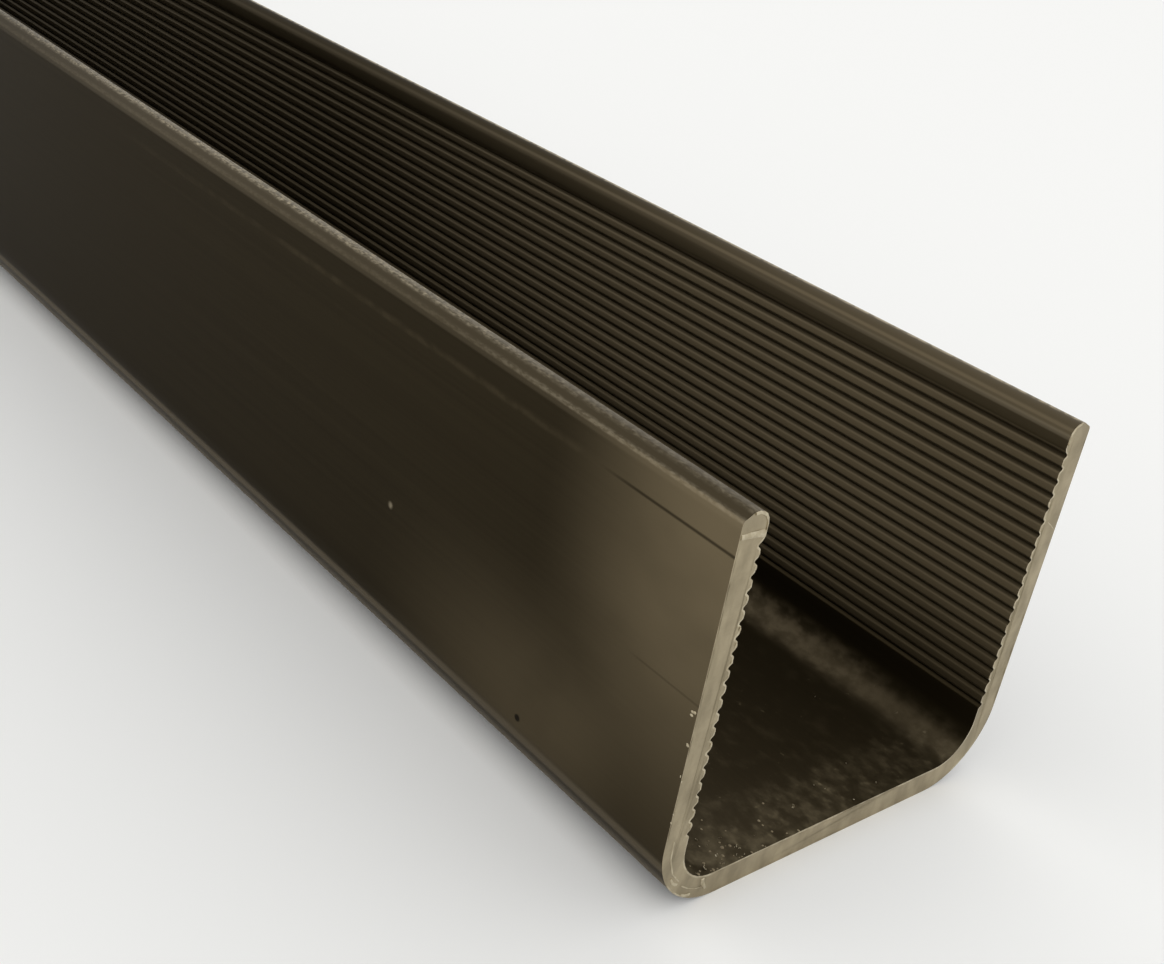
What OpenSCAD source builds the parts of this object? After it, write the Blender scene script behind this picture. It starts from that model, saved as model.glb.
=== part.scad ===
// Ribbed U-channel, one length of extruded aluminium with a dark bronze anodised finish.
// It lies on its base with the open side up. X runs along the length, Y across and Z up.
// The origin is on the underside, midway between the ends and between the two walls.

/* [Stock] */
// Length of the bar
bar_length = 500; // [100:50:3000]

/* [Section] */
// Overall width across the outer faces of the two walls
channel_w = 34; // [26:0.5:60]
// Overall height from the underside to the top of the lips
channel_h = 30; // [20:0.5:60]
// Wall thickness at the ribs' crests and below the ribs
wall_t = 2.05; // [1.9:0.05:3]
// Base thickness
base_t = 1.9; // [1.4:0.1:3]
// Outer radius of the two bottom corners
corner_r = 6; // [4:0.5:7]
// Inner radius where the walls meet the base
fillet_r = 3.3; // [2.5:0.1:5]

/* [Ribs] */
// Distance from one rib to the next
rib_pitch = 1.05; // [0.8:0.05:1.5]
// Height of a rib above the grooves beside it
rib_h = 0.25; // [0.1:0.05:0.4]
// Width of a rib's flat crest
rib_crest_w = 0.5; // [0.2:0.05:0.6]
// Width of the flat at the bottom of a groove
groove_w = 0.12; // [0.06:0.02:0.2]
// Smooth wall left between the inner fillet and the lowest groove, at least
smooth_band_h = 0.5; // [0.2:0.1:2]

/* [Lips] */
// Height of the smooth lip above the ribs
lip_h = 2.4; // [2:0.1:4]
// How far the lip stands in from the ribs' crests
lip_bulge = 0.15; // [0.05:0.05:0.5]
// Height of the slope under the lip, above the first groove
lip_foot_h = 0.25; // [0.1:0.05:0.6]
// Radius of the lip's inner top edge
lip_r = 1; // [0.4:0.1:1.1]
// Width of the bevel on the lip's outer top edge
lip_bevel_w = 0.9; // [0.4:0.1:1.1]
// Height of the bevel on the lip's outer top edge
lip_bevel_h = 0.5; // [0.2:0.1:1.2]

/* [Hidden] */
$fn = 96;

lip_t = wall_t + lip_bulge;
groove_mouth_w = rib_pitch - rib_crest_w;
wall_face_x = channel_w / 2 - wall_t;
rib_top_z = channel_h - lip_h;
rib_low_z = base_t + fillet_r + smooth_band_h + groove_mouth_w / 2;
rib_count = floor((rib_top_z - rib_low_z) / rib_pitch);

// Rectangle standing on y = 0, centred on x = 0, with its two lower corners rounded
module round_footed(w, h, r) {
    translate([-w / 2, r]) square([w, h - r]);
    translate([r - w / 2, 0]) square([w - 2 * r, r]);
    for (side = [-1, 1]) {
        translate([side * (w / 2 - r), r]) circle(r);
    }
}

// Cutter for one groove of the right wall, which opens towards -x
module groove() {
    polygon([
        [rib_h, -groove_w / 2],
        [rib_h, groove_w / 2],
        [0, groove_mouth_w / 2],
        [-rib_h, groove_mouth_w / 2],
        [-rib_h, -groove_mouth_w / 2],
        [0, -groove_mouth_w / 2]
    ]);
}

// Row of grooves down the inside of the right wall, with a rib between each two of them
module groove_row() {
    for (i = [0 : rib_count]) {
        translate([wall_face_x, rib_top_z - i * rib_pitch]) groove();
    }
}

// Thickened lip of the right wall, rooted in the wall and standing towards -x
module lip() {
    translate([wall_face_x, rib_top_z + groove_mouth_w / 2])
        polygon([
            [wall_t / 2, 0],
            [0, 0],
            [-lip_bulge, lip_foot_h],
            [-lip_bulge, 2 * lip_h],
            [wall_t / 2, 2 * lip_h]
        ]);
}

// Hollow of the channel, with fillets below and the lips standing into it
module hollow() {
    difference() {
        translate([0, base_t]) round_footed(2 * wall_face_x, channel_h, fillet_r);
        for (side = [0, 1]) {
            mirror([side, 0]) lip();
        }
    }
}

// Cutter for the top of the right wall: a bevel on its outer edge and a round on its inner edge
module lip_edges() {
    polygon([
        [channel_w / 2, channel_h],
        [channel_w / 2 - lip_bevel_w, channel_h],
        [channel_w / 2, channel_h - lip_bevel_h]
    ]);
    translate([channel_w / 2 - lip_t, channel_h - lip_r])
        difference() {
            square(lip_r);
            translate([lip_r, 0]) circle(lip_r);
        }
}

// Whole section, with the base on y = 0
module section() {
    difference() {
        round_footed(channel_w, channel_h, corner_r);
        hollow();
        for (side = [0, 1]) {
            mirror([side, 0]) {
                groove_row();
                lip_edges();
            }
        }
    }
}

module channel() {
    color("#4f4737")
        rotate([90, 0, 90])
            linear_extrude(height = bar_length, center = true)
                section();
}

channel();
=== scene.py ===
import math
import random

import bmesh
import bpy
from bpy.props import FloatProperty, FloatVectorProperty, IntProperty, PointerProperty
from bpy.types import Operator, Panel, PropertyGroup
from mathutils import Matrix, Vector, noise


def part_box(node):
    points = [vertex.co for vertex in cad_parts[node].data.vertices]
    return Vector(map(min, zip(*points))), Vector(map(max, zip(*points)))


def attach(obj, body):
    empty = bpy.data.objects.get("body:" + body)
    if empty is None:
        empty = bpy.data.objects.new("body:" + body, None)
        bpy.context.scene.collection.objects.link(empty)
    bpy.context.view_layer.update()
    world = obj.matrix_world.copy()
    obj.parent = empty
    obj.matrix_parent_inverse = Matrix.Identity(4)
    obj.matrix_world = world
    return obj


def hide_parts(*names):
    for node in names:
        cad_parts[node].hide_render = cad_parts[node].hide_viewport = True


bl_info = {
    "name": "Ribbed Channel Stock",
    "version": (1, 0, 0),
    "blender": (4, 5, 0),
    "location": "3D View > Sidebar > Channel",
    "description": "Dresses a sawn length of ribbed aluminium U-channel and sets up its studio",
    "category": "Object",
}

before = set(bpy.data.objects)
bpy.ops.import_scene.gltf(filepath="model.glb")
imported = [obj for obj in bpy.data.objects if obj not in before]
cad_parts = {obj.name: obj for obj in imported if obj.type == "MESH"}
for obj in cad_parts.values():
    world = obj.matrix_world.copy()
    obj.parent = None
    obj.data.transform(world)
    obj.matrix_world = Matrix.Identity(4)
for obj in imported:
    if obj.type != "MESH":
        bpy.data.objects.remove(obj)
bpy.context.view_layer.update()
BAR_LOW, BAR_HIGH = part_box("channel")
BODY = "root"
MM = 0.001

# Raised lines that the saw left on the photographed end: the side of the bar, points as (in from its outer
# face, up from the underside) in mm, and the line's half width in mm
NEAR, FAR = -1, 1
BURR_LINES = (
    (NEAR, ((0.1, 28.5), (0.6, 28.5), (1.4, 28.45), (1.95, 28.4)), 0.2),
    (NEAR, ((0.9, 29.86), (1.3, 29.9), (1.8, 29.62), (2.06, 29.15), (2.08, 28.6), (2.0, 28.2)), 0.11),
    (NEAR, ((0.75, 6.4), (0.85, 4.9), (1.35, 3.5), (2.1, 2.6)), 0.05),
    (NEAR, ((2.5, 2.0), (3.2, 1.5), (4.1, 1.1), (4.8, 1.0)), 0.05),
    (NEAR, ((4.5, 1.75), (4.6, 1.3), (4.9, 0.8)), 0.14),
    (NEAR, ((1.3, 3.1), (1.6, 2.6), (1.95, 2.35)), 0.07),
    (NEAR, ((2.6, 1.2), (3.0, 0.95), (3.5, 0.85)), 0.09),
    (
        NEAR,
        ((6.8, 1.84), (8.4, 1.86), (9.8, 1.85), (11.4, 1.86), (12.8, 1.85), (14.5, 1.86), (16.3, 1.85)),
        0.05,
    ),
    (FAR, ((1.3, 22.2), (0.7, 21.8), (0.1, 21.3)), 0.06),
    (FAR, ((1.2, 29.9), (1.7, 29.7), (2.05, 29.2), (2.08, 28.5)), 0.07),
)
BURR_SEED = 11

# Torn flecks on the outer face by the photographed end: height, distance back and half size in mm
FLECKS = (
    (16.3, 0.3, 0.3),
    (14.1, 0.15, 0.2),
    (11.7, 0.1, 0.16),
    (11.4, -0.02, 0.12),
    (8.9, 0.0, 0.1),
    (8.2, 0.02, 0.14),
)
LUMPS_A_FLECK = 3

# Half sizes in mm of the lump of burr on a rib's end: along the bar, across it and up
RIB_LUMP = (0.05, 0.08, 0.16)

CHIP_THICKNESS = 0.03 * MM

# Long edges of the section are divided into steps of about this length, so that the sawn rim can wander
SECTION_STEP = 0.6 * MM
SHARP_ANGLE = math.radians(38)

# Softboxes: name, place from the near corner and side in metres, and the studio setting with the power
LAMPS = (
    ("key_softbox", (1.65, -0.78, 1.5), 1.35, "key_power"),
    ("rib_softbox", (-1.2, -1.1, 0.87), 1.8, "rib_power"),
    ("lip_softbox", (-1.17, 1.38, 0.75), 1.8, "lip_power"),
)
LAMP_SPREAD = math.radians(150)
FLOOR_HALF_SIDE = 2.4


def linear(hex_colour):
    """Turns an sRGB hex colour into the linear RGB that shaders take."""
    channels = [int(hex_colour[i:i + 2], 16) / 255 for i in (1, 3, 5)]
    return tuple(c / 12.92 if c <= 0.04045 else ((c + 0.055) / 1.055) ** 2.4 for c in channels)


def length_prop(name, description, default_mm):
    """A length property with its default given in millimetres."""
    return FloatProperty(
        name=name, description=description, default=default_mm * MM, unit="LENGTH", precision=5
    )


def colour_prop(name, description, hex_colour):
    """A colour property with its default given as an sRGB hex value."""
    return FloatVectorProperty(
        name=name, description=description, default=linear(hex_colour), subtype="COLOR", min=0.0, max=1.0
    )


class ChannelSizes(PropertyGroup):
    """Section of the bar. Its length, width and height come from the frame."""

    wall: length_prop("Wall", "Wall thickness at the ribs' crests and below the ribs", 2.05)
    base: length_prop("Base", "Base thickness", 1.9)
    corner: length_prop("Corner", "Outer radius of the bottom corners", 6.0)
    fillet: length_prop("Fillet", "Inner radius where the walls meet the base", 3.3)
    rib_pitch: length_prop("Rib pitch", "Distance from one rib to the next", 1.05)
    rib_height: length_prop("Rib height", "Height of a rib above the grooves beside it", 0.25)
    rib_crest: length_prop("Rib crest", "Width of a rib's crest before its edges are eased", 0.5)
    rib_ease: length_prop("Rib ease", "How far a rib's rounding starts from the corner of its crest", 0.1)
    groove: length_prop("Groove", "Width of the flat at the bottom of a groove", 0.12)
    smooth_band: length_prop("Smooth band", "Least smooth wall between the fillet and the lowest groove", 0.5)
    lip_height: length_prop("Lip height", "Height of the smooth lip above the ribs", 2.4)
    lip_bulge: length_prop("Lip bulge", "How far the lip stands in from the ribs' crests", 0.15)
    lip_foot: length_prop("Lip foot", "Height of the slope under the lip, above the first groove", 0.25)
    lip_round: length_prop("Lip round", "Radius of the lip's inner top edge", 1.0)
    bevel_width: length_prop("Bevel width", "Width of the bevel on the lip's outer top edge", 0.9)
    bevel_height: length_prop("Bevel height", "Height of the bevel on the lip's outer top edge", 0.5)
    edge_ease: length_prop("Edge ease", "How far a bevel edge's rounding starts from its corner", 0.2)
    rim: length_prop("Sawn rim", "Width of the broken edge round a sawn end", 0.12)
    burr: length_prop("Burr", "How far the burr of a sawn edge stands out at most", 0.1)


class SwarfSizes(PropertyGroup):
    """Saw chips that lie in the channel by the photographed end."""

    count: IntProperty(name="Chips", description="Number of chips", default=28, min=0, max=400)
    granules: IntProperty(name="Granules", description="Number of dust granules", default=36, min=0, max=400)
    largest: length_prop("Largest", "Length of the largest chip", 0.6)
    reach: length_prop("Reach", "How far the chips lie back from the sawn end", 14.0)
    seed: IntProperty(name="Seed", description="Seed of the chips' places", default=7)


class FinishColours(PropertyGroup):
    """Colours of the finishes."""

    anodised: colour_prop("Anodised", "Dark bronze anodised skin", "#30291A")
    die_line: colour_prop("Die lines", "Darker streaks drawn out by the die", "#241D10")
    pit: colour_prop("Pit", "Dark pit in the skin", "#120E08")
    # Pale brown for saw dust, and for painted reflections and highlights on the near face, its lower corner,
    # the ribs and the lips' tops
    dust_and_painted_light: colour_prop("Film", "Skin under a thin film of saw dust", "#776A52")
    # Pale for rubbed edges, and for painted highlight lines on the lips
    wear_and_painted_highlight: colour_prop("Wear", "Rubbed edges of the lips", "#A69A82")
    sawn: colour_prop("Sawn", "Bare aluminium of the sawn ends", "#ADA187")
    sawn_shade: colour_prop("Sawn shade", "Duller patches of the sawn ends", "#948971")
    chip: colour_prop("Chips", "Bare aluminium of burr and chips", "#C4BAA1")
    dust: colour_prop("Dust", "Pale saw dust on the base", "#85795F")
    floor: colour_prop("Floor", "Studio floor", "#F2F2F0")


class StudioSettings(PropertyGroup):
    """Camera and lamps, placed from the lower outer corner of the photographed end."""

    camera_place: FloatVectorProperty(
        name="Camera place", description="Camera's place from the near corner",
        subtype="TRANSLATION", unit="LENGTH", default=(48.2 * MM, -59.1 * MM, 68.6 * MM),
    )
    camera_aim: FloatVectorProperty(
        name="Camera aim", description="Point that the camera looks at, from the near corner",
        subtype="TRANSLATION", unit="LENGTH", default=(-27.9 * MM, 14.14 * MM, 15.0 * MM),
    )
    camera_roll: FloatProperty(
        name="Camera roll", description="Camera's roll about its line of sight", subtype="ANGLE",
        default=math.radians(10.45),
    )
    lens: FloatProperty(name="Lens", description="Focal length", subtype="DISTANCE_CAMERA", default=47.83)
    key_power: FloatProperty(
        name="Key", description="Power of the front softbox", subtype="POWER", default=6.0
    )
    rib_power: FloatProperty(
        name="Rib light", description="Power of the left softbox", subtype="POWER", default=2.2
    )
    lip_power: FloatProperty(
        name="Lip light", description="Power of the back softbox", subtype="POWER", default=3.0
    )
    fill: FloatProperty(name="Fill", description="Strength of the even light from all round", default=0.9)


def add_node(tree, kind, inputs=None, **settings):
    """Adds a shader node, sets its options, and sets or links its inputs."""
    made = tree.nodes.new(kind)
    for name, value in settings.items():
        setattr(made, name, value)
    for name, value in (inputs or {}).items():
        socket = made.inputs[name]
        if isinstance(value, bpy.types.NodeSocket):
            tree.links.new(value, socket)
        else:
            socket.default_value = value
    return made


def new_material(name):
    """An empty node material with its output, and the output node."""
    material = bpy.data.materials.new(name)
    material.use_nodes = True
    material.node_tree.nodes.clear()
    return material, add_node(material.node_tree, "ShaderNodeOutputMaterial")


def rgba(colour):
    """A colour property with an alpha of 1."""
    return (*colour, 1.0)


def anodised_material(colours, sizes):
    """Extruded aluminium, etched, dyed dark bronze and sealed: a dark satin metal with streaks along the bar.

    By the cut, saw dust lies on it as specks and patches on the base and as a band in the far fillet. A pale
    coat on the near face by the cut, lighter towards the top, is partly saw dust and partly a painted
    reflection;
    on the near face's lower corner it is a painted reflection with a paler painted line. On the ribs' crests
    and upper flanks it is a painted highlight, partly dust, lighter high up and by the cut. On the lips' tops
    it is partly dust and partly painted light, with a painted highlight line below. The lips' edges are rubbed
    pale, and the near bevels' feet and the far lip's top edge also carry painted highlight lines. The near
    face has two dark scratches, a faint pale line, a pale speck and a dark pit.
    """
    material, output = new_material("anodised_extruded_aluminium")
    tree = material.node_tree
    place = add_node(tree, "ShaderNodeTexCoord").outputs["Object"]
    axes = add_node(tree, "ShaderNodeSeparateXYZ", {"Vector": place}).outputs
    x, y, z = axes["X"], axes["Y"], axes["Z"]
    across = add_node(tree, "ShaderNodeMath", {0: y}, operation="ABSOLUTE").outputs["Value"]
    cut, wide, top = BAR_HIGH
    crest = wide - sizes.wall
    groove = crest + sizes.rib_height
    bevel = wide - sizes.bevel_width
    bevel_edge = top - sizes.bevel_height
    lowest = groove_heights(sizes)[-1]

    # Noise in cells a metre: streaks 80 mm long and 0.3 mm wide, clouds of 10 to 17 mm, smears of 1 mm, flecks
    # of 0.6 mm, and grains 0.4 mm long and 0.2 mm wide
    fields = {}
    for name, stretch, detail in (
        ("streaks", (12.0, 3000.0, 3000.0), 3.0),
        ("clouds", (60.0, 90.0, 90.0), 3.0),
        ("smears", (700.0, 900.0, 900.0), 5.0),
        ("flecks", (1600.0, 1800.0, 1800.0), 4.0),
        ("grains", (2500.0, 6000.0, 6000.0), 2.0),
    ):
        stretched = add_node(tree, "ShaderNodeMapping", {"Vector": place, "Scale": stretch}).outputs["Vector"]
        field = add_node(tree, "ShaderNodeTexNoise", {"Vector": stretched, "Scale": 1.0, "Detail": detail})
        fields[name] = field.outputs["Fac"]
    for name, back, height in (("from_speck", 32.7, 13.5), ("from_pit", 15.3, 5.9)):
        middle = (cut - back * MM, -wide, height * MM)
        away = add_node(tree, "ShaderNodeVectorMath", {0: place, 1: middle}, operation="DISTANCE")
        fields[name] = away.outputs["Value"]

    # Each ramp goes from low at its start to 1 at its end
    ramps = {}
    for name, value, start, end, low in (
        # Pale coat on the near face by the cut, lighter towards the top, and on its foot further back: partly
        # saw dust, partly a painted reflection of the lit floor
        ("by_cut", x, cut - 17 * MM, cut - 1 * MM, 0.0),
        ("face", y, -wide + 0.2 * MM, -wide + 0.05 * MM, 0.0),
        ("upper", z, 4.0 * MM, 24.0 * MM, 0.0),
        ("cloudy", fields["clouds"], 0.1, 0.5, 0.5),
        ("foot", z, 19.0 * MM, 7.0 * MM, 0.0),
        ("foot_by_cut", x, cut - 36 * MM, cut - 12 * MM, 0.0),
        ("foot_from_cut", x, cut - 3 * MM, cut - 12 * MM, 0.3),
        # Painted reflection of the floor on the near side's lower corner, with a paler painted line above it
        ("corner_out", y, -wide + 2.6 * MM, -wide + 1.9 * MM, 0.0),
        ("corner_low", z, 4.2 * MM, 2.2 * MM, 0.0),
        ("corner_line_foot", z, 3.7 * MM, 4.2 * MM, 0.0),
        ("corner_line_head", z, 5.1 * MM, 4.5 * MM, 0.0),
        # Painted highlight on the ribs' crests and upper flanks, partly saw dust, lighter on the higher ribs
        # and by the cut
        ("ribs_by_cut", x, cut - 100 * MM, cut - 20 * MM, 0.18),
        ("ribs_from_cut", x, cut, cut - 20 * MM, 0.8),
        ("up_flank", across, crest + 0.13 * MM, crest + 0.02 * MM, 0.25),
        ("to_crest", across, crest - 0.09 * MM, crest - 0.03 * MM, 0.5),
        ("above_smooth", z, lowest, lowest + 0.3 * MM, 0.0),
        # Painted shade: the lower ribs get less of the painted highlight
        ("painted_shade_low_ribs", z, 6.0 * MM, 16.0 * MM, 0.4),
        ("within", across, groove + 0.8 * MM, groove + 0.4 * MM, 0.0),
        # Film, specks and patches of dust on the base
        ("above_base", z, sizes.base - 0.3 * MM, sizes.base - 0.1 * MM, 0.0),
        ("low", z, 4.0 * MM, 2.0 * MM, 0.0),
        ("inside", across, groove + 0.1 * MM, groove - 0.4 * MM, 0.0),
        ("near_side", y, 20.0 * MM, -12.0 * MM, 0.5),
        ("dusty", fields["flecks"], 0.4, 0.8, 0.4),
        ("specked", fields["flecks"], 0.68, 0.8, 0.0),
        ("smudged", fields["smears"], 0.5, 0.75, 0.6),
        ("blotchy", fields["smears"], 0.35, 0.65, 0.2),
        ("base_by_cut", x, cut - 7 * MM, cut - 0.5 * MM, 0.0),
        ("base_back", x, cut - 60 * MM, cut - 2 * MM, 0.2),
        # Dust in the far fillet
        ("fillet_start", y, 12.0 * MM, 13.4 * MM, 0.0),
        ("fillet_end", z, 4.6 * MM, 3.6 * MM, 0.0),
        ("fillet_back", x, cut - 70 * MM, cut - 30 * MM, 0.0),
        ("fillet_cut", x, cut - 4 * MM, cut - 16 * MM, 0.35),
        # Pale coat on the lips' tops, partly dust and partly painted light, with a painted highlight line
        # below it
        ("lip_up", z, top - 1.1 * MM, top - 0.85 * MM, 0.0),
        ("near_half", y, 1.0 * MM, -1.0 * MM, 0.0),
        ("far_half", y, -1.0 * MM, 1.0 * MM, 0.0),
        ("behind", x, cut - 30 * MM, cut - 70 * MM, 0.8),
        ("far_lip_by_cut", x, cut - 60 * MM, cut - 10 * MM, 0.0),
        ("lip_line_foot", z, top - 1.25 * MM, top - 1.1 * MM, 0.0),
        ("lip_line_head", z, top - 0.7 * MM, top - 0.9 * MM, 0.0),
        ("lip_line_back", x, cut - 45 * MM, cut - 10 * MM, 0.0),
        # Rubbed edges of the lips; the bevels' feet and the far lip's top edge also carry painted highlight
        # lines
        ("lip_top", z, top - 0.4 * MM, top - 0.15 * MM, 0.0),
        ("near_top", y, -bevel - 0.35 * MM, -bevel, 0.0),
        ("near_lip", y, -wide + 3.0 * MM, -wide + 2.8 * MM, 0.0),
        ("rubbed", fields["grains"], 0.3, 0.7, 0.2),
        ("crumbled", fields["flecks"], 0.4, 0.65, 0.4),
        ("more_behind", x, cut - 8 * MM, cut - 45 * MM, 0.3),
        ("not_far_back", x, cut - 150 * MM, cut - 60 * MM, 0.3),
        ("bevel_foot", z, bevel_edge - 0.2 * MM, bevel_edge - 0.05 * MM, 0.0),
        ("bevel_head", z, bevel_edge + 0.2 * MM, bevel_edge + 0.05 * MM, 0.0),
        ("outside", across, wide - 0.6 * MM, wide - 0.4 * MM, 0.0),
        ("bevel_by_cut", x, cut - 32 * MM, cut - 12 * MM, 0.25),
        ("far_top", y, bevel - 0.45 * MM, bevel - 0.15 * MM, 0.0),
        ("far_bevel", y, bevel + 0.3 * MM, bevel + 0.15 * MM, 0.0),
        ("broken", fields["flecks"], 0.35, 0.55, 0.3),
        # Two dark scratches, a faint pale line, a speck and a pit on the near face
        ("scratch_foot", z, 27.05 * MM, 27.2 * MM, 0.0),
        ("scratch_head", z, 27.4 * MM, 27.25 * MM, 0.0),
        ("scratch_reach", x, cut - 13 * MM, cut - 8 * MM, 0.0),
        ("low_scratch_foot", z, 16.85 * MM, 16.95 * MM, 0.0),
        ("low_scratch_head", z, 17.1 * MM, 17.0 * MM, 0.0),
        ("low_scratch_reach", x, cut - 7 * MM, cut - 5 * MM, 0.0),
        ("pale_line_foot", z, 26.8 * MM, 27.2 * MM, 0.0),
        ("pale_line_head", z, 27.65 * MM, 27.25 * MM, 0.0),
        ("pale_line_start", x, cut - 9 * MM, cut - 18 * MM, 0.0),
        ("pale_line_end", x, cut - 90 * MM, cut - 45 * MM, 0.0),
        ("speck", fields["from_speck"], 0.4 * MM, 0.05 * MM, 0.0),
        ("pitted", fields["from_pit"], 0.35 * MM, 0.2 * MM, 0.0),
    ):
        ramp = add_node(
            tree, "ShaderNodeMapRange", {"Value": value, "From Min": start, "From Max": end, "To Min": low},
            interpolation_type="SMOOTHSTEP",
        )
        ramps[name] = ramp.outputs["Result"]

    colour = add_node(
        tree, "ShaderNodeMix",
        {"Factor": fields["streaks"], "A": rgba(colours.die_line), "B": rgba(colours.anodised)},
        data_type="RGBA",
    ).outputs["Result"]

    # Each cover is mixed over the ones before it, by its strength times its ramps
    covers = {}
    for name, cover, strength, factors in (
        # Partly saw dust, partly a painted reflection of the lit floor, on the near face by the cut and on its
        # foot
        ("face_dust_and_painted_reflection", colours.dust_and_painted_light, 0.75, ("by_cut", "face", "upper", "cloudy")),
        ("foot_dust_and_painted_reflection", colours.dust_and_painted_light, 0.34, ("face", "foot", "foot_by_cut", "foot_from_cut", "cloudy")),
        # Painted highlight on the ribs' crests and upper flanks, partly saw dust
        (
            "rib_dust_and_painted_highlight", colours.dust_and_painted_light, 0.57,
            ("ribs_by_cut", "ribs_from_cut", "up_flank", "to_crest", "above_smooth", "painted_shade_low_ribs", "within"),
        ),
        # Partly dust and partly painted light on the lips' tops
        ("near_lip_dust_and_painted_light", colours.dust_and_painted_light, 0.2, ("lip_up", "near_half", "behind", "not_far_back")),
        ("far_lip_dust_and_painted_light", colours.dust_and_painted_light, 0.22, ("lip_up", "far_half", "far_lip_by_cut")),
        # Painted highlight line on the lips' inner rounds, below their tops
        ("lip_painted_highlight", colours.wear_and_painted_highlight, 0.17, ("lip_line_foot", "lip_line_head", "inside", "lip_line_back")),
        (
            "fillet_dust", colours.dust_and_painted_light, 0.3,
            ("fillet_start", "fillet_end", "fillet_back", "fillet_cut", "blotchy", "cloudy"),
        ),
        # Painted reflection of the floor on the near side's lower corner, and a paler painted line above it
        ("corner_painted_reflection", colours.dust_and_painted_light, 0.48, ("corner_low", "corner_out")),
        ("corner_painted_reflection_line", colours.dust_and_painted_light, 0.34, ("corner_line_foot", "corner_line_head", "corner_out")),
        (
            "base_film", colours.dust_and_painted_light, 0.24,
            ("above_base", "low", "inside", "base_back", "near_side", "smudged"),
        ),
        ("base_specks", colours.dust, 0.35, ("above_base", "low", "inside", "base_back", "specked")),
        (
            "base_dust", colours.dust, 0.5,
            ("above_base", "low", "inside", "dusty", "blotchy", "base_by_cut", "near_side"),
        ),
        (
            "near_wear", colours.wear_and_painted_highlight, 0.9,
            ("lip_top", "near_top", "near_lip", "rubbed", "crumbled", "more_behind", "not_far_back"),
        ),
        # Rubbed, and a painted highlight line, at the foot of the lips' outer bevels
        ("bevel_wear_and_painted_highlight", colours.wear_and_painted_highlight, 0.27, ("bevel_foot", "bevel_head", "outside", "rubbed", "bevel_by_cut")),
        # Rubbed, and a painted highlight line, along the far lip's top edge
        ("far_wear_and_painted_highlight", colours.wear_and_painted_highlight, 0.95, ("lip_top", "far_top", "far_bevel", "broken")),
        ("scratch", colours.die_line, 0.8, ("face", "scratch_foot", "scratch_head", "scratch_reach")),
        (
            "pale_line", colours.dust_and_painted_light, 0.11,
            ("face", "pale_line_foot", "pale_line_head", "pale_line_start", "pale_line_end", "blotchy"),
        ),
        (
            "low_scratch", colours.die_line, 0.3,
            ("face", "low_scratch_foot", "low_scratch_head", "low_scratch_reach"),
        ),
        ("speck", colours.wear_and_painted_highlight, 0.6, ("speck", "blotchy")),
        ("pit", colours.pit, 0.9, ("pitted",)),
    ):
        share = strength
        for factor in factors:
            share = add_node(
                tree, "ShaderNodeMath", {0: ramps[factor], 1: share}, operation="MULTIPLY"
            ).outputs["Value"]
        covers[name] = share
        colour = add_node(
            tree, "ShaderNodeMix", {"Factor": share, "A": colour, "B": rgba(cover)}, data_type="RGBA"
        ).outputs["Result"]

    # Dust, rubbing and the painted light all take the metal's gloss away
    dulled = covers["near_wear"]
    for name in (
        "far_wear_and_painted_highlight", "base_dust", "base_film", "base_specks", "rib_dust_and_painted_highlight", "near_lip_dust_and_painted_light", "far_lip_dust_and_painted_light",
        "fillet_dust", "corner_painted_reflection", "corner_painted_reflection_line", "lip_painted_highlight", "bevel_wear_and_painted_highlight",
    ):
        dulled = add_node(
            tree, "ShaderNodeMath", {0: dulled, 1: covers[name]}, operation="ADD"
        ).outputs["Value"]
    roughness = add_node(
        tree, "ShaderNodeMapRange", {"Value": dulled, "To Min": 0.36, "To Max": 0.7}
    ).outputs["Result"]
    metallic = add_node(
        tree, "ShaderNodeMapRange", {"Value": dulled, "From Max": 0.6, "To Min": 0.75, "To Max": 0.1}
    ).outputs["Result"]
    bump = add_node(
        tree, "ShaderNodeBump", {"Height": fields["streaks"], "Strength": 0.15, "Distance": 0.01 * MM}
    )
    shader = add_node(
        tree, "ShaderNodeBsdfPrincipled",
        {
            "Base Color": colour,
            "Metallic": metallic,
            "Specular IOR Level": 0.2,
            "Specular Tint": (0.45, 0.45, 0.45, 1.0),
            "Roughness": roughness,
            "Normal": bump.outputs["Normal"],
        },
    )
    tree.links.new(shader.outputs["BSDF"], output.inputs["Surface"])
    return material


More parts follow.
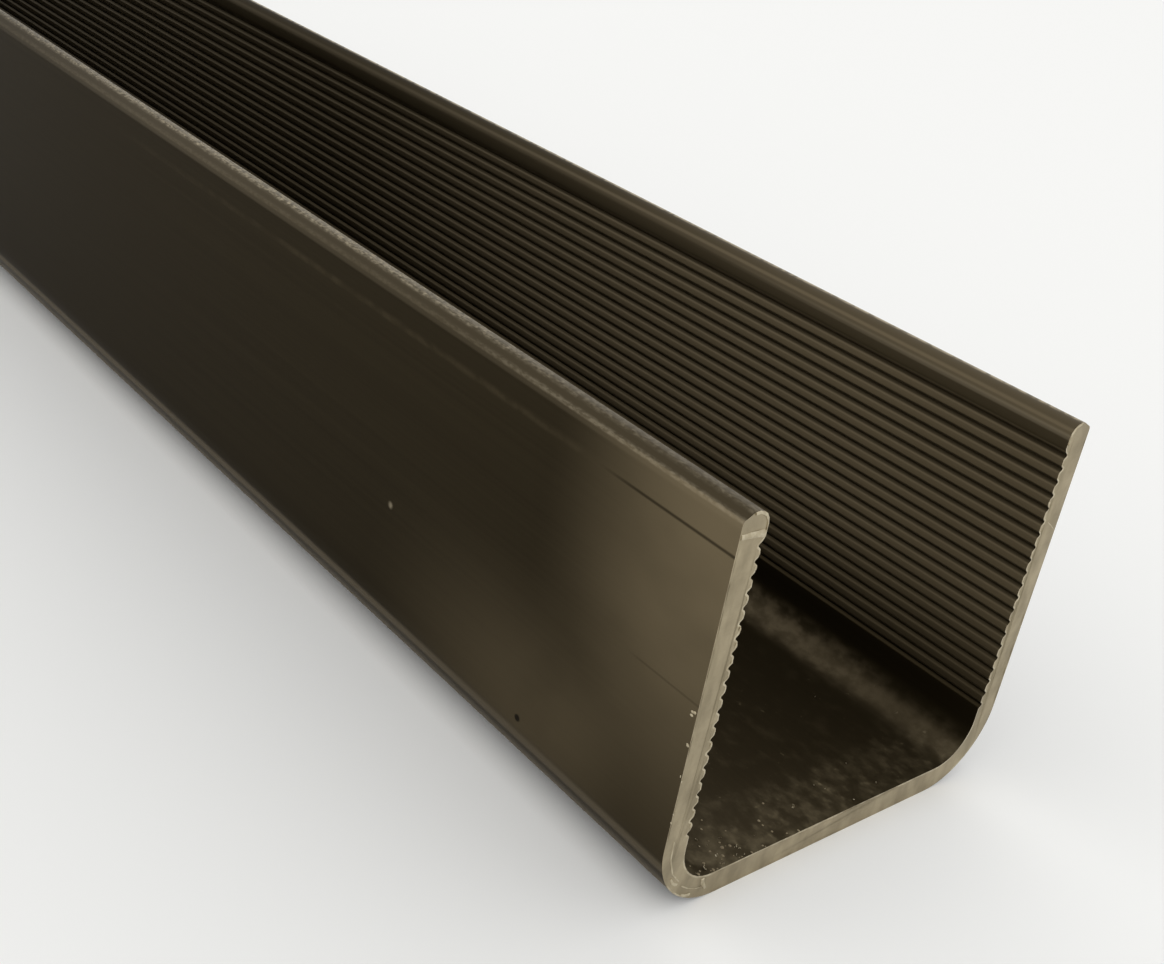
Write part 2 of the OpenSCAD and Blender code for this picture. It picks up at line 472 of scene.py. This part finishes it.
def sawn_material(colours):
    """Bare aluminium as a saw leaves it: a pale satin metal with fine tooth marks and duller patches."""
    material, output = new_material("sawn_bare_aluminium")
    tree = material.node_tree
    place = add_node(tree, "ShaderNodeTexCoord").outputs["Object"]

    # Noise in cells a metre: marks 1.1 mm long and 0.2 mm wide, and patches of 1.4 by 2.9 mm
    fields = {}
    for name, stretch in (("marks", (900.0, 900.0, 5000.0)), ("patches", (500.0, 700.0, 350.0))):
        stretched = add_node(tree, "ShaderNodeMapping", {"Vector": place, "Scale": stretch}).outputs["Vector"]
        field = add_node(tree, "ShaderNodeTexNoise", {"Vector": stretched, "Scale": 1.0, "Detail": 4.0})
        fields[name] = field.outputs["Fac"]
    patchy = add_node(
        tree, "ShaderNodeMapRange", {"Value": fields["patches"], "From Min": 0.35, "From Max": 0.65}
    )
    colour = add_node(
        tree, "ShaderNodeMix",
        {"Factor": patchy.outputs["Result"], "A": rgba(colours.sawn_shade), "B": rgba(colours.sawn)},
        data_type="RGBA",
    )
    roughness = add_node(
        tree, "ShaderNodeMapRange", {"Value": fields["marks"], "To Min": 0.42, "To Max": 0.58}
    )
    bump = add_node(
        tree, "ShaderNodeBump", {"Height": fields["marks"], "Strength": 0.4, "Distance": 0.03 * MM}
    )
    shader = add_node(
        tree, "ShaderNodeBsdfPrincipled",
        {
            "Base Color": colour.outputs["Result"],
            "Metallic": 1.0,
            "Roughness": roughness.outputs["Result"],
            "Normal": bump.outputs["Normal"],
        },
    )
    tree.links.new(shader.outputs["BSDF"], output.inputs["Surface"])
    return material


def torn_material(colours):
    """Freshly torn aluminium of burr and chips: bright, with a glint. The burr and the chips share it."""
    name = "torn_bare_aluminium"
    if name in bpy.data.materials:
        return bpy.data.materials[name]
    material, output = new_material(name)
    tree = material.node_tree
    place = add_node(tree, "ShaderNodeTexCoord").outputs["Object"]

    # Grain of about 0.6 mm
    grain = add_node(
        tree, "ShaderNodeTexNoise", {"Vector": place, "Scale": 1800.0, "Detail": 3.0}
    ).outputs["Fac"]
    bright = add_node(tree, "ShaderNodeMapRange", {"Value": grain, "From Min": 0.4, "From Max": 0.6})
    colour = add_node(
        tree, "ShaderNodeMix",
        {"Factor": bright.outputs["Result"], "A": rgba(colours.sawn), "B": rgba(colours.chip)},
        data_type="RGBA",
    )
    roughness = add_node(tree, "ShaderNodeMapRange", {"Value": grain, "To Min": 0.3, "To Max": 0.55})
    shader = add_node(
        tree, "ShaderNodeBsdfPrincipled",
        {
            "Base Color": colour.outputs["Result"],
            "Metallic": 1.0,
            "Roughness": roughness.outputs["Result"],
        },
    )
    tree.links.new(shader.outputs["BSDF"], output.inputs["Surface"])
    return material


def dust_material(colours):
    """Granules of saw dust and dirt: matt, in several browns."""
    material, output = new_material("matt_saw_dust")
    tree = material.node_tree
    place = add_node(tree, "ShaderNodeTexCoord").outputs["Object"]

    # Shades change over about 1 mm, so from one granule to the next
    field = add_node(tree, "ShaderNodeTexNoise", {"Vector": place, "Scale": 900.0}).outputs["Fac"]
    pale = add_node(tree, "ShaderNodeMapRange", {"Value": field, "From Min": 0.4, "From Max": 0.6})
    colour = add_node(
        tree, "ShaderNodeMix",
        {"Factor": pale.outputs["Result"], "A": rgba(colours.dust_and_painted_light), "B": rgba(colours.dust)},
        data_type="RGBA",
    )
    shader = add_node(
        tree, "ShaderNodeBsdfPrincipled", {"Base Color": colour.outputs["Result"], "Roughness": 0.9}
    )
    tree.links.new(shader.outputs["BSDF"], output.inputs["Surface"])
    return material


def floor_material(colours):
    """Matt pale studio floor."""
    material, output = new_material("matt_pale_floor")
    tree = material.node_tree
    shader = add_node(tree, "ShaderNodeBsdfDiffuse", {"Color": rgba(colours.floor)})
    tree.links.new(shader.outputs["BSDF"], output.inputs["Surface"])
    return material


def finish_piece(bm, name, *materials):
    """Turns a bmesh into a named object that rides on the bar."""
    mesh = bpy.data.meshes.new(name)
    bm.to_mesh(mesh)
    bm.free()
    for material in materials:
        mesh.materials.append(material)
    piece = bpy.data.objects.new(name, mesh)
    bpy.context.scene.collection.objects.link(piece)
    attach(piece, BODY)
    return piece


def groove_heights(sizes):
    """Heights of the grooves' middles, from the one under the lip down. A rib stands between each two."""
    rib_top = BAR_HIGH[2] - sizes.lip_height
    mouth = sizes.rib_pitch - sizes.rib_crest
    rib_low = sizes.base + sizes.fillet + sizes.smooth_band + mouth / 2
    rib_count = math.floor((rib_top - rib_low) / sizes.rib_pitch)
    return [rib_top - i * sizes.rib_pitch for i in range(rib_count + 1)]


def half_section(sizes):
    """Corners of the +Y half of the section as (y, z, ease), from under its middle round to the base's top.

    ease is how far from the corner its rounding starts, and 0 leaves the corner sharp.
    """
    outer, height = BAR_HIGH[1], BAR_HIGH[2]
    wall_face = outer - sizes.wall
    lip_face = wall_face - sizes.lip_bulge
    groove_face = wall_face + sizes.rib_height
    half_mouth = (sizes.rib_pitch - sizes.rib_crest) / 2
    half_groove = sizes.groove / 2
    heights = groove_heights(sizes)
    corners = [
        (0.0, 0.0, 0.0),
        (outer, 0.0, sizes.corner),
        (outer, height - sizes.bevel_height, sizes.edge_ease),
        (outer - sizes.bevel_width, height, sizes.edge_ease / 2),
        (lip_face, height, sizes.lip_round),
        (lip_face, heights[0] + half_mouth + sizes.lip_foot, sizes.edge_ease / 2),
    ]
    for middle in heights:
        corners += [
            (wall_face, middle + half_mouth, sizes.rib_ease if middle < heights[0] else 0.0),
            (groove_face, middle + half_groove, 0.0),
            (groove_face, middle - half_groove, 0.0),
            (wall_face, middle - half_mouth, sizes.rib_ease),
        ]
    corners += [(wall_face, sizes.base, sizes.fillet), (0.0, sizes.base, 0.0)]
    return corners


def ease_corners(bm, eased):
    """Rounds the given vertices of a flat face, each by its own ease."""
    for ease in sorted(set(eased.values()), reverse=True):
        corners = [v for v, e in eased.items() if e == ease]
        segments = max(4, round(ease / MM * 3))
        bmesh.ops.bevel(
            bm, geom=corners, offset=ease, offset_type="ABSOLUTE", affect="VERTICES", segments=segments,
            profile=0.5, material=-1,
        )


def break_rim(bm, sizes, end):
    """Breaks the edge of a sawn end: a narrow rim, torn unevenly, and bright on the inside of the channel."""
    side = 1 if end.normal.x > 0 else -1
    edge_ring = end.verts[:]
    rim = bmesh.ops.inset_region(
        bm, faces=[end], thickness=sizes.rim, depth=0.0, use_boundary=True, use_even_offset=True
    )["faces"]
    inner_half = BAR_HIGH[1] - sizes.wall / 2
    for face in rim + [end]:
        middle = face.calc_center_median()
        inside = abs(middle.y) < inner_half and middle.z > sizes.base / 2
        face.material_index = 2 if inside and face is not end else 1
        face.smooth = False
    for vert in edge_ring:
        wander = noise.noise(vert.co / (1.3 * MM)) + 0.5 * noise.noise(vert.co / (0.4 * MM))
        vert.co.x += side * sizes.burr * wander * 0.7


def build_channel(sizes, anodised, sawn, torn):
    """The bar: half a section, eased, mirrored and drawn out along the length.

    Each sawn end gets a broken rim.
    """
    bm = bmesh.new()
    eased = {}
    ring = []
    for y, z, ease in half_section(sizes):
        vert = bm.verts.new((BAR_HIGH[0], y, z))
        ring.append(vert)
        if ease > 0:
            eased[vert] = ease
    bm.faces.new(ring)
    ease_corners(bm, eased)
    everything = bm.verts[:] + bm.edges[:] + bm.faces[:]
    bmesh.ops.mirror(bm, geom=everything, axis="Y", merge_dist=0.001 * MM)
    middle = [e for e in bm.edges if len(e.link_faces) == 2]
    bmesh.ops.dissolve_edges(bm, edges=middle, use_verts=True)
    for edge in [e for e in bm.edges if e.calc_length() > 2 * SECTION_STEP]:
        bmesh.ops.subdivide_edges(bm, edges=[edge], cuts=int(edge.calc_length() / SECTION_STEP))
    drawn = bmesh.ops.extrude_face_region(bm, geom=bm.faces[:])
    far = [g for g in drawn["geom"] if isinstance(g, bmesh.types.BMVert)]
    bmesh.ops.translate(bm, vec=(BAR_LOW[0] - BAR_HIGH[0], 0.0, 0.0), verts=far)
    bmesh.ops.recalc_face_normals(bm, faces=bm.faces)
    for face in bm.faces:
        face.smooth = True
    for end in [f for f in bm.faces if abs(f.normal.x) > 0.9]:
        break_rim(bm, sizes, end)
    channel = finish_piece(bm, "ribbed_channel", anodised, sawn, torn)
    channel.data.set_sharp_from_angle(angle=SHARP_ANGLE)
    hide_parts("channel")


def add_curl(bm, place, turn, long, wide, half_turns):
    """Adds a curled strip: an edge at a place, spun about a line above it."""
    bend = half_turns * math.pi
    ends = [bm.verts.new(place + turn @ Vector((0.0, side * wide / 2, 0.0))) for side in (-1, 1)]
    edge = bm.edges.new(ends)
    middle = place + turn @ Vector((0.0, 0.0, long / bend))
    bmesh.ops.spin(
        bm, geom=[*ends, edge], cent=middle, axis=turn @ Vector((0.0, 1.0, 0.0)), angle=bend, steps=4
    )


def base_height(sizes, side):
    """Height of the channel's inside at a distance to one side of its middle, on the base or the fillet."""
    flat = BAR_HIGH[1] - sizes.wall - sizes.fillet
    climb = min(max(abs(side) - flat, 0.0), sizes.fillet)
    return sizes.base + sizes.fillet - math.sqrt(sizes.fillet ** 2 - climb ** 2)


def build_swarf(sizes, swarf, torn, dust):
    """Curled saw chips and granules of dust behind the sawn end, most of them heaped in the near corner."""
    rng = random.Random(swarf.seed)
    reach_side = BAR_HIGH[1] - sizes.corner
    bm = bmesh.new()
    for i in range(swarf.count):
        heaped = i % 2 == 0
        long = swarf.largest * (0.15 + 0.85 * rng.random() ** 4)
        heading = Matrix.Rotation(rng.uniform(0, 2 * math.pi), 3, "Z")
        turn = heading @ Matrix.Rotation(rng.uniform(-0.4, 0.4), 3, "X")
        back = 0.2 * MM + (0.15 if heaped else 1.0) * swarf.reach * rng.random() ** 1.6
        if heaped:
            side = rng.uniform(-reach_side - 2 * MM, -reach_side + 3 * MM)
        else:
            side = rng.uniform(-1, 1) * reach_side
        place = Vector((BAR_HIGH[0] - back, side, base_height(sizes, side) + CHIP_THICKNESS))
        add_curl(bm, place, turn, long, long * rng.uniform(0.25, 0.6), rng.uniform(0.3, 0.9))
    bmesh.ops.recalc_face_normals(bm, faces=bm.faces)
    bmesh.ops.solidify(bm, geom=bm.faces[:], thickness=CHIP_THICKNESS)
    chips = set(bm.faces)
    for _ in range(swarf.granules):
        back = 0.1 * MM + 0.35 * swarf.reach * rng.random() ** 2
        side = -reach_side + rng.triangular(-2.5, 9.0, 0.0) * MM
        size = swarf.largest * rng.uniform(0.08, 0.28)
        place = Vector((BAR_HIGH[0] - back, side, base_height(sizes, side)))
        add_bead(bm, place, (size * rng.uniform(0.5, 1.0), size * rng.uniform(0.5, 1.0), size * 0.4))
    for face in set(bm.faces) - chips:
        face.material_index = 1
    bmesh.ops.recalc_face_normals(bm, faces=bm.faces)
    finish_piece(bm, "saw_chips", torn, dust)


def add_bead(bm, place, spread):
    """Adds a small lump of torn metal with its own half size along each axis."""
    at = Matrix.Translation(place) @ Matrix.Diagonal((*spread, 1.0))
    bmesh.ops.create_icosphere(bm, subdivisions=2, radius=1.0, matrix=at)


def add_ridge(bm, rng, points, radius):
    """Adds an uneven raised line through points on the sawn end, flatter than it is wide."""
    heading = (points[1] - points[0]).to_track_quat("Z", "X").to_matrix().to_4x4()
    made = bmesh.ops.create_circle(
        bm, cap_ends=True, segments=8, radius=radius, matrix=Matrix.Translation(points[0]) @ heading
    )["verts"]
    cap = made[0].link_faces[0]
    for here, there in zip(points, points[1:]):
        grown = bmesh.ops.extrude_face_region(bm, geom=[cap, *cap.edges])["geom"]
        cap = next(g for g in grown if isinstance(g, bmesh.types.BMFace))
        bmesh.ops.translate(bm, verts=cap.verts[:], vec=there - here)
        swell = rng.uniform(0.7, 1.4)
        middle = Matrix.Translation(-cap.calc_center_median())
        bmesh.ops.scale(bm, verts=cap.verts[:], vec=(swell, swell, swell), space=middle)


def build_burr(sizes, torn):
    """Burr that the saw left on the photographed end: flecks on its edges and raised lines across it."""
    rng = random.Random(BURR_SEED)
    cut, outer, _ = BAR_HIGH
    crest = outer - sizes.wall
    bm = bmesh.new()
    for side, points, radius in BURR_LINES:
        path = [Vector((cut, side * (outer - inward * MM), up * MM)) for inward, up in points]
        add_ridge(bm, rng, path, radius * MM)
    flatten = Matrix.Translation((-cut, 0.0, 0.0))
    bmesh.ops.scale(bm, verts=bm.verts[:], vec=(0.5, 1.0, 1.0), space=flatten)
    for groove in groove_heights(sizes)[:-1]:
        height = groove - sizes.rib_pitch / 2
        for side in (NEAR, FAR):
            if side == FAR and rng.random() < 0.4:
                continue
            place = Vector((cut, side * (crest + 0.06 * MM), height + rng.uniform(-0.18, 0.08) * MM))
            size = rng.uniform(0.7, 1.3)
            add_bead(bm, place, [half * MM * size for half in RIB_LUMP])
    for height, back, size in FLECKS:
        for _ in range(LUMPS_A_FLECK):
            along = -back + rng.uniform(-0.4, 0.4) * size
            up = height + rng.uniform(-0.6, 0.6) * size
            place = Vector((cut, -outer, 0.0)) + Vector((along, 0.0, up)) * MM
            add_bead(bm, place, Vector((rng.uniform(0.2, 0.5), 0.2, rng.uniform(0.25, 0.55))) * size * MM)
    bmesh.ops.recalc_face_normals(bm, faces=bm.faces)
    finish_piece(bm, "saw_burr", torn)


def build_floor(material):
    """A wide flat floor under the bar."""
    bm = bmesh.new()
    bmesh.ops.create_grid(bm, x_segments=1, y_segments=1, size=FLOOR_HALF_SIDE)
    mesh = bpy.data.meshes.new("studio_floor")
    bm.to_mesh(mesh)
    bm.free()
    mesh.materials.append(material)
    floor = bpy.data.objects.new("studio_floor", mesh)
    floor.location.z = BAR_LOW[2]
    bpy.context.scene.collection.objects.link(floor)


def near_corner():
    """Lower outer corner of the photographed end."""
    return Vector((BAR_HIGH[0], BAR_LOW[1], BAR_LOW[2]))


def aim(obj, target, roll=0.0):
    """Turns a camera or lamp towards a point, then rolls it about its line of sight."""
    sight = (Vector(target) - obj.location).to_track_quat("-Z", "Y")
    obj.rotation_mode = "QUATERNION"
    obj.rotation_quaternion = sight @ Matrix.Rotation(roll, 3, "Z").to_quaternion()


def build_camera(studio):
    """Camera at the photograph's place and angle."""
    data = bpy.data.cameras.new("photo_camera")
    data.sensor_width = 36.0
    data.lens = studio.lens
    data.clip_start = 0.01
    camera = bpy.data.objects.new("photo_camera", data)
    bpy.context.scene.collection.objects.link(camera)
    camera.location = near_corner() + Vector(studio.camera_place)
    aim(camera, near_corner() + Vector(studio.camera_aim), studio.camera_roll)
    bpy.context.scene.camera = camera


def build_lamp(name, place, target, size, power):
    """A square softbox whose light fades to the sides, so that it leaves no edge on the floor."""
    data = bpy.data.lights.new(name, "AREA")
    data.shape = "SQUARE"
    data.size = size
    data.energy = power
    data.spread = LAMP_SPREAD
    lamp = bpy.data.objects.new(name, data)
    bpy.context.scene.collection.objects.link(lamp)
    lamp.location = place
    aim(lamp, target)


def build_world(fill):
    """Even white light from all round, seen as plain white by the camera and in reflections."""
    world = bpy.data.worlds.new("studio_world")
    bpy.context.scene.world = world
    world.use_nodes = True
    tree = world.node_tree
    tree.nodes.clear()
    output = add_node(tree, "ShaderNodeOutputWorld")
    rays = add_node(tree, "ShaderNodeLightPath").outputs
    seen = rays["Is Camera Ray"]
    for kind in ("Is Glossy Ray", "Is Transmission Ray"):
        seen = add_node(tree, "ShaderNodeMath", {0: seen, 1: rays[kind]}, operation="ADD").outputs["Value"]
    level = add_node(tree, "ShaderNodeMapRange", {"Value": seen, "To Min": fill, "To Max": 1.0})
    light = add_node(
        tree, "ShaderNodeBackground", {"Color": (1.0, 1.0, 1.0, 1.0), "Strength": level.outputs["Result"]}
    )
    tree.links.new(light.outputs["Background"], output.inputs["Surface"])


class CHANNEL_OT_bar(Operator):
    """Build the ribbed bar in place of the frame's channel"""

    bl_idname = "channel.bar"
    bl_label = "Build Bar"

    def execute(self, context):
        scene = context.scene
        sizes, colours = scene.channel_sizes, scene.channel_colours
        anodised = anodised_material(colours, sizes)
        build_channel(sizes, anodised, sawn_material(colours), torn_material(colours))
        return {"FINISHED"}


class CHANNEL_OT_burr(Operator):
    """Build the burr on the photographed end"""

    bl_idname = "channel.burr"
    bl_label = "Build Burr"

    def execute(self, context):
        scene = context.scene
        build_burr(scene.channel_sizes, torn_material(scene.channel_colours))
        return {"FINISHED"}


class CHANNEL_OT_swarf(Operator):
    """Scatter saw chips on the base by the sawn end"""

    bl_idname = "channel.swarf"
    bl_label = "Scatter Chips"

    def execute(self, context):
        scene = context.scene
        colours = scene.channel_colours
        build_swarf(scene.channel_sizes, scene.channel_swarf, torn_material(colours), dust_material(colours))
        return {"FINISHED"}


class CHANNEL_OT_stage(Operator):
    """Set up the floor, the light and the camera"""

    bl_idname = "channel.stage"
    bl_label = "Set Stage"

    def execute(self, context):
        scene = context.scene
        studio = scene.channel_studio
        scene.view_settings.view_transform = "Standard"
        build_floor(floor_material(scene.channel_colours))
        build_world(studio.fill)
        end = near_corner()
        for name, place, side, power in LAMPS:
            build_lamp(name, end + Vector(place), end, side, getattr(studio, power))
        build_camera(studio)
        return {"FINISHED"}


class CHANNEL_PT_sidebar(Panel):
    """Sizes, colours and builders of the channel"""

    bl_idname = "CHANNEL_PT_sidebar"
    bl_label = "Ribbed Channel"
    bl_space_type = "VIEW_3D"
    bl_region_type = "UI"
    bl_category = "Channel"

    def draw(self, context):
        layout = self.layout
        for operator in OPERATORS:
            layout.operator(operator.bl_idname)
        for name, (title, _) in GROUPS.items():
            box = layout.box()
            box.label(text=title)
            group = getattr(context.scene, name)
            for prop in group.bl_rna.properties:
                if prop.identifier not in {"rna_type", "name"}:
                    box.prop(group, prop.identifier)


OPERATORS = (CHANNEL_OT_bar, CHANNEL_OT_burr, CHANNEL_OT_swarf, CHANNEL_OT_stage)
GROUPS = {
    "channel_sizes": ("Section", ChannelSizes),
    "channel_swarf": ("Chips", SwarfSizes),
    "channel_colours": ("Colours", FinishColours),
    "channel_studio": ("Studio", StudioSettings),
}
CLASSES = (*(kind for _, kind in GROUPS.values()), *OPERATORS, CHANNEL_PT_sidebar)


def register():
    for cls in CLASSES:
        bpy.utils.register_class(cls)
    for name, (_, kind) in GROUPS.items():
        setattr(bpy.types.Scene, name, PointerProperty(type=kind))


def unregister():
    for name in GROUPS:
        delattr(bpy.types.Scene, name)
    for cls in reversed(CLASSES):
        bpy.utils.unregister_class(cls)


def main():
    register()
    bpy.ops.channel.bar()
    bpy.ops.channel.burr()
    bpy.ops.channel.swarf()
    bpy.ops.channel.stage()


if __name__ == "__main__":
    main()
